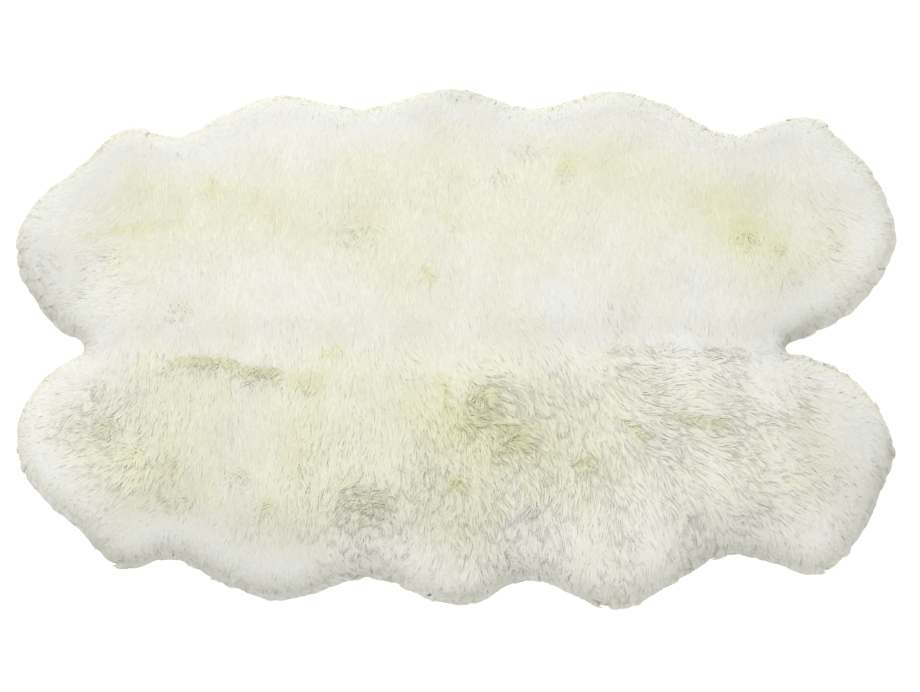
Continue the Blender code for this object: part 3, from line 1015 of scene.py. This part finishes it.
def add_bump(tree, x, y, height, strength, distance, shader):
    bump = add_node(tree, "ShaderNodeBump", x, y)
    bump.inputs["Strength"].default_value = strength
    bump.inputs["Distance"].default_value = distance
    tree.links.new(height, bump.inputs["Height"])
    tree.links.new(bump.outputs["Normal"], shader.inputs["Normal"])


print("node helpers ready")

# %% [markdown]
# ## The mottle that all the finishes share
#
# Wool, suede and thread are all mottled: a noise takes the colour from dark to light and back.
# It is one effect in four materials, so it is made once, as a node group. Each material gives it
# its own place, scale, colours and contrast. Where the noise is under "From" the colour is all
# dark, and where it is over "To" all light. The noise itself comes out too, as a height.

# %% Mottle
mottle = bpy.data.node_groups.new("mottle", "ShaderNodeTree")
for socket, kind in (
    ("Place", "Vector"), ("Scale", "Float"), ("Detail", "Float"), ("From", "Float"),
    ("To", "Float"), ("Dark", "Color"), ("Light", "Color"),
):
    mottle.interface.new_socket(name=socket, in_out="INPUT", socket_type="NodeSocket" + kind)
for socket, kind in (("Colour", "Color"), ("Height", "Float")):
    mottle.interface.new_socket(name=socket, in_out="OUTPUT", socket_type="NodeSocket" + kind)

given = add_node(mottle, "NodeGroupInput", -800, 0)
noise = add_node(mottle, "ShaderNodeTexNoise", -550, 100)
for wanted_socket, own_socket in (("Place", "Vector"), ("Scale", "Scale"), ("Detail", "Detail")):
    mottle.links.new(given.outputs[wanted_socket], noise.inputs[own_socket])
contrast = add_node(mottle, "ShaderNodeMapRange", -300, 100)
mottle.links.new(noise.outputs["Fac"], contrast.inputs["Value"])
mottle.links.new(given.outputs["From"], contrast.inputs["From Min"])
mottle.links.new(given.outputs["To"], contrast.inputs["From Max"])
mottled_colour = mix_colours(
    mottle, -100, 0, contrast.outputs["Result"], given.outputs["Dark"], given.outputs["Light"]
)
result = add_node(mottle, "NodeGroupOutput", 150, 0)
mottle.links.new(mottled_colour, result.inputs["Colour"])
mottle.links.new(noise.outputs["Fac"], result.inputs["Height"])
print("mottle:", len(mottle.nodes), "nodes")


def add_mottle(tree, x, y, place, scale, detail, low, high):
    """The group in a material; low and high are each where on the noise, and which colour."""
    node = add_node(tree, "ShaderNodeGroup", x, y, node_tree=mottle)
    values = (place, scale, detail, low[0], high[0], low[1], high[1])
    for socket, value in zip(node.inputs, values):
        plug(tree, socket, value)
    return node.outputs["Colour"], node.outputs["Height"]


# %% [markdown]
# ## The colour of wool
#
# Wool is white at the tip, where light has bleached it, and yellower towards the root, where it
# keeps its grease. A lock's place on the painted sheet says how far along the lock a point is,
# how golden the lock is, whether it is silky or coarse, and its level of painted shade. So one
# material paints every lock. Fine streaks along the locks stand for the fibres.

# %% Wool material
# painted shade: each level of the sheet's columns is darker than the one before by this much
PAINTED_SHADE_STEP = 0.0375  # how much darker each tone is
STREAKS_ALONG = 1.5
STREAKS_ACROSS = 11.0
SILKY_PALE = [
    (0.0, (0.86, 0.86, 0.80)), (0.35, (0.93, 0.93, 0.91)), (0.75, (0.95, 0.95, 0.94)),
    (1.0, (0.96, 0.96, 0.955)),
]
COARSE_PALE = [
    (0.0, (0.76, 0.75, 0.48)), (0.35, (0.91, 0.905, 0.79)), (0.75, (0.965, 0.965, 0.945)),
    (1.0, (0.98, 0.98, 0.97)),
]
GOLDEN = [
    (0.0, (0.55, 0.53, 0.28)), (0.35, (0.75, 0.74, 0.45)), (0.75, (0.89, 0.88, 0.60)),
    (1.0, (0.95, 0.945, 0.77)),
]  # each from the root to the tip

wool, tree, shader = new_material(
    "wool_locks", Roughness=0.75, Specular_IOR_Level=0.25, Sheen_Weight=0.10,
    Sheen_Tint=(1.0, 0.98, 0.90, 1), Sheen_Roughness=0.5,
)
strip = add_node(tree, "ShaderNodeUVMap", -1700, 0, uv_map="OFBake")
parts = add_node(tree, "ShaderNodeSeparateXYZ", -1500, 0)
tree.links.new(strip.outputs["UV"], parts.inputs[0])
u, v = parts.outputs["X"], parts.outputs["Y"]
column = maths(tree, "MULTIPLY", -1300, 200, u, VARIANTS)
along_lock = maths(tree, "FRACT", -1100, 200, column)
is_coarse = maths(tree, "GREATER_THAN", -1100, 450, u, 0.5)
# painted shade: the level of the column darkens the wool
painted_shade_level_here = maths(tree, "MODULO", -900, 600, maths(tree, "FLOOR", -1100, 600, column), PAINTED_SHADE_LEVELS)
darker = maths(tree, "MULTIPLY", -700, 600, painted_shade_level_here, PAINTED_SHADE_STEP)
painted_shading = maths(tree, "SUBTRACT", -500, 600, 1.0, darker)
silky = ramp(tree, along_lock, -800, 400, SILKY_PALE)
rough = ramp(tree, along_lock, -800, 200, COARSE_PALE)
golden = ramp(tree, along_lock, -800, 0, GOLDEN)
pale = mix_colours(tree, -600, 300, is_coarse, silky, rough)
colour = mix_colours(tree, -500, 150, v, pale, golden)
stretch = add_node(tree, "ShaderNodeMapping", -1300, -300)
stretch.inputs["Scale"].default_value = (VARIANTS * STREAKS_ALONG, TINTS * STREAKS_ACROSS, 1)
tree.links.new(strip.outputs["UV"], stretch.inputs["Vector"])
streaks, fibres = add_mottle(
    tree, -1000, -300, stretch.outputs["Vector"], 1.0, 2.0,
    (0.32, (0.82, 0.815, 0.78)), (0.62, (1.0, 1.0, 1.0)),
)
colour = mix_colours(tree, -350, 100, 1.0, colour, streaks, blend="MULTIPLY")
# the colour times the painted shade
colour = mix_colours(tree, -150, 100, 1.0, colour, painted_shading, blend="MULTIPLY")
tree.links.new(colour, shader.inputs["Base Color"])
add_bump(tree, -500, -400, fibres, 0.5, 0.0004, shader)

for name, obj in locks.items():
    obj.data.materials.append(wool)
    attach(obj, "root")
    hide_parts(name)
print("wool painted on", len(locks), "pieces")

# %% [markdown]
# ## The dense fleece underneath
#
# Between the locks one looks into the underwool, short and dense. It is the whole fleece again,
# sunk under the locks and roughened. It is sunk deepest where the wool opens, and close under
# silky wool, where nobody should see a gap. At every point it also keeps how golden it is there.

# %% Sunk fleece
FLEECE_BASE = 0.0028
UNDERWOOL_VOXEL = 0.0085
SOFT_DEPTH = 0.0001
OPEN_DEPTH = 0.0026
RIM_DEPTH = 0.0022  # the locks cut the corner where the fleece curves down at its edge
ROUGHNESS_DEPTH = 0.0008

sunk = add_object("sunk", whole.data.copy())
apply_modifier(sunk, "REMESH", mode="VOXEL", voxel_size=UNDERWOOL_VOXEL)
places = np.array([v.co for v in sunk.data.vertices])
ways = np.array([v.normal for v in sunk.data.vertices])
state = wool_at(places, np.full(len(places), 0.5))
depth = SOFT_DEPTH + (OPEN_DEPTH - SOFT_DEPTH) * np.maximum(0.6 * state.coarse, state.openness)
depth += ROUGHNESS_DEPTH * waves(places, 0.012, 41) * state.coarse
depth += RIM_DEPTH * (1 - smooth_step(state.edge, 0.03, 0.08))
depth *= smooth_step(ways[:, 2], -0.7, -0.1)
places -= ways * depth[:, None]
places[:, 2] = np.maximum(places[:, 2], FLEECE_BASE)
sunk.data.vertices.foreach_set("co", places.ravel())
deep_gold = np.clip(state.gold + 0.3 * state.openness, 0, 1)
stored = sunk.data.attributes.new("golden", "FLOAT", "POINT")
stored.data.foreach_set("value", deep_gold.astype(np.float32))
bpy.data.objects.remove(whole, do_unlink=True)
print("sunk fleece:", len(sunk.data.polygons), "faces")

# %% [markdown]
# The sunk fleece is cut along both seams with bisect, which keeps one side of a plane and fills
# the cut, and each quarter becomes the underwool of one pelt.

# %% Underwool of each pelt
UNDERWOOL_CREASE = math.radians(50)


def cut_out(source, name, new_name):
    """One pelt's part of a piece, cut along both seams and closed there."""
    side_x, side_y = side_of(name)
    obj = add_object(new_name, source.data.copy())
    activate(obj)
    bpy.ops.object.mode_set(mode="EDIT")
    for place, direction in (((SEAM_X, 0, 0), (side_x, 0, 0)), ((0, SEAM_Y, 0), (0, side_y, 0))):
        bpy.ops.mesh.select_all(action="SELECT")
        bpy.ops.mesh.bisect(plane_co=place, plane_no=direction, clear_inner=True, use_fill=True)
    bpy.ops.object.mode_set(mode="OBJECT")
    bpy.ops.object.shade_smooth_by_angle(angle=UNDERWOOL_CREASE)
    return obj


fleeces = {name: cut_out(sunk, name, name.replace("pelt", "fleece")) for name in PELTS}
bpy.data.objects.remove(sunk, do_unlink=True)
print("underwool:", len(fleeces), "pieces")

# %% [markdown]
# Its colour is that of the roots of the locks, mottled by the curl of the short fibres. The
# stored value mixes the pale pair of colours with the golden one.

# %% Underwool material
underwool, tree, shader = new_material("underwool", Roughness=0.95, Specular_IOR_Level=0.1)
place = add_node(tree, "ShaderNodeTexCoord", -1300, 0)
how_golden = add_node(tree, "ShaderNodeAttribute", -1300, 300, attribute_name="golden")
amount = how_golden.outputs["Fac"]
dark = mix_colours(tree, -1000, 300, amount, (0.84, 0.835, 0.68), (0.56, 0.54, 0.26))
light = mix_colours(tree, -1000, 100, amount, (0.93, 0.93, 0.88), (0.80, 0.79, 0.50))
colour, curls = add_mottle(
    tree, -700, 0, place.outputs["Object"], 140.0, 5.0, (0.30, dark), (0.70, light)
)
tree.links.new(colour, shader.inputs["Base Color"])
add_bump(tree, -400, -300, curls, 0.3, 0.001, shader)

for name, obj in fleeces.items():
    obj.data.materials.append(underwool)
    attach(obj, "root")
    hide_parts(name)
    print(obj.name, len(obj.data.polygons), "faces")

# %% [markdown]
# ## The hides
#
# Turn the rug over and there is the tanned skin, a sheet of soft suede as thin as a coin. It
# starts as the flat underside of the pelt: every other face is deleted, the rest is raised
# above the stitches and extruded to the thickness of the skin.

# %% Hides
HIDE_BOTTOM = 0.0009
HIDE_THICKNESS = 0.0017
HIDE_CREASE = math.radians(40)


def make_hide(name):
    obj = copy_of(name, name.replace("pelt", "hide"))
    bpy.ops.object.mode_set(mode="EDIT")
    bpy.ops.mesh.select_mode(type="FACE")
    bpy.ops.mesh.select_all(action="DESELECT")
    bpy.ops.object.mode_set(mode="OBJECT")
    for face in obj.data.polygons:
        face.select = face.center.z > 1e-4
    bpy.ops.object.mode_set(mode="EDIT")
    bpy.ops.mesh.delete(type="FACE")
    bpy.ops.mesh.select_all(action="SELECT")
    bpy.ops.transform.translate(value=(0, 0, HIDE_BOTTOM))
    bpy.ops.mesh.extrude_region_move(TRANSFORM_OT_translate={"value": (0, 0, HIDE_THICKNESS)})
    bpy.ops.mesh.select_all(action="SELECT")
    bpy.ops.mesh.normals_make_consistent(inside=False)
    bpy.ops.object.mode_set(mode="OBJECT")
    bpy.ops.object.shade_smooth_by_angle(angle=HIDE_CREASE)
    return obj


hides = {name: make_hide(name) for name in PELTS}
print("hides:", [len(hide.data.polygons) for hide in hides.values()], "faces")

# %% [markdown]
# Suede has broad blotches from the tanning and a fine nap from the buffing, so its colour is one
# mottle multiplied by another.

# %% Suede
suede, tree, shader = new_material(
    "suede", Roughness=0.9, Specular_IOR_Level=0.2, Sheen_Weight=0.3
)
place = add_node(tree, "ShaderNodeTexCoord", -1300, 0).outputs["Object"]
tan, _ = add_mottle(
    tree, -900, 150, place, 7.0, 4.0, (0.30, (0.60, 0.50, 0.36)), (0.70, (0.76, 0.69, 0.56))
)
grain, nap = add_mottle(
    tree, -900, -200, place, 420.0, 3.0, (0.35, (0.86, 0.85, 0.83)), (0.65, (1.0, 1.0, 1.0))
)
colour = mix_colours(tree, -350, 50, 1.0, tan, grain, blend="MULTIPLY")
tree.links.new(colour, shader.inputs["Base Color"])
add_bump(tree, -350, -250, nap, 0.4, 0.0008, shader)

for name, hide in hides.items():
    hide.data.materials.append(suede)
    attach(hide, "root")
    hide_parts(name)

# %% [markdown]
# ## The stitches
#
# A furrier joins skins with an overcast seam on the leather side: the thread goes over both
# edges in short slanting stitches. One stitch is a bit of round thread. Two bisects give it
# bends, and its ends are turned up into the skin.

# %% One stitch
THREAD_RADIUS = 0.0004
THREAD_CLEARANCE = 0.0001
STITCH_SPAN = 0.008
STITCH_SLANT = 0.45
BEND_AT = 0.32  # of the span, on each side of the middle
END_FROM = 0.4
END_RISE = 0.0011


def make_stitch(name):
    bpy.ops.object.select_all(action="DESELECT")
    bpy.ops.mesh.primitive_cylinder_add(
        vertices=6, radius=THREAD_RADIUS, depth=STITCH_SPAN, rotation=(math.pi / 2, 0, 0)
    )
    obj = bpy.context.object
    obj.name = name
    bpy.ops.object.transform_apply(location=False, rotation=True, scale=False)
    bpy.ops.object.mode_set(mode="EDIT")
    for side in (-1, 1):
        bpy.ops.mesh.select_all(action="SELECT")
        bend = (0, side * STITCH_SPAN * BEND_AT, 0)
        bpy.ops.mesh.bisect(plane_co=bend, plane_no=(0, 1, 0))
    bpy.ops.object.mode_set(mode="OBJECT")
    for vertex in obj.data.vertices:
        end = abs(vertex.co.y) > STITCH_SPAN * END_FROM
        vertex.co.z += END_RISE if end else THREAD_RADIUS + THREAD_CLEARANCE
        vertex.co.x += vertex.co.y * STITCH_SLANT
    return obj


print("one stitch spans", 1000 * STITCH_SPAN, "mm")

# %% [markdown]
# The thread is pale and twisted, so it shows lighter and darker strands. Its mottle is very fine,
# with about one change of colour for each millimetre.

# %% Thread
thread, tree, shader = new_material("seam_thread", Roughness=0.7)
place = add_node(tree, "ShaderNodeTexCoord", -900, 0).outputs["Object"]
thread_colour, _ = add_mottle(
    tree, -650, 0, place, 900.0, 2.0, (0.35, (0.62, 0.56, 0.44)), (0.65, (0.82, 0.78, 0.66))
)
tree.links.new(thread_colour, shader.inputs["Base Color"])
print("thread material:", thread.name)

# %% [markdown]
# An array repeats the stitch along each seam, from just inside one end of the hides to just
# inside the other. The row of the short seam is turned a quarter before it is put in its place.

# %% Rows of stitches
STITCH_PITCH = 0.005
SEAM_MARGIN = 0.006
THREAD_CREASE = math.radians(70)


def seam_range(axis):
    """Where the hides meet along a seam: the lowest and highest place on that axis."""
    across = SEAM_Y if axis == 0 else SEAM_X
    places = np.concatenate([[v.co for v in hide.data.vertices] for hide in hides.values()])
    beside = np.abs(places[:, 1 - axis] - across) < 0.002
    return places[beside, axis].min() + SEAM_MARGIN, places[beside, axis].max() - SEAM_MARGIN


for axis, label in ((0, "long"), (1, "cross")):
    low, high = seam_range(axis)
    stitches = make_stitch("stitches_" + label)
    apply_modifier(
        stitches, "ARRAY", count=int((high - low) / STITCH_PITCH), use_relative_offset=False,
        use_constant_offset=True, constant_offset_displace=(STITCH_PITCH, 0, 0),
    )
    if axis == 1:
        bpy.ops.transform.rotate(value=-math.pi / 2, orient_axis="Z", center_override=(0, 0, 0))
    row_start = (low, SEAM_Y, 0) if axis == 0 else (SEAM_X, low, 0)
    bpy.ops.transform.translate(value=row_start)
    bpy.ops.object.transform_apply(location=True, rotation=True, scale=True)
    bpy.ops.object.shade_smooth_by_angle(angle=THREAD_CREASE)
    stitches.data.materials.append(thread)
    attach(stitches, "root")
    print(stitches.name, len(stitches.data.polygons), "faces,", round(low, 3), "to", round(high, 3))
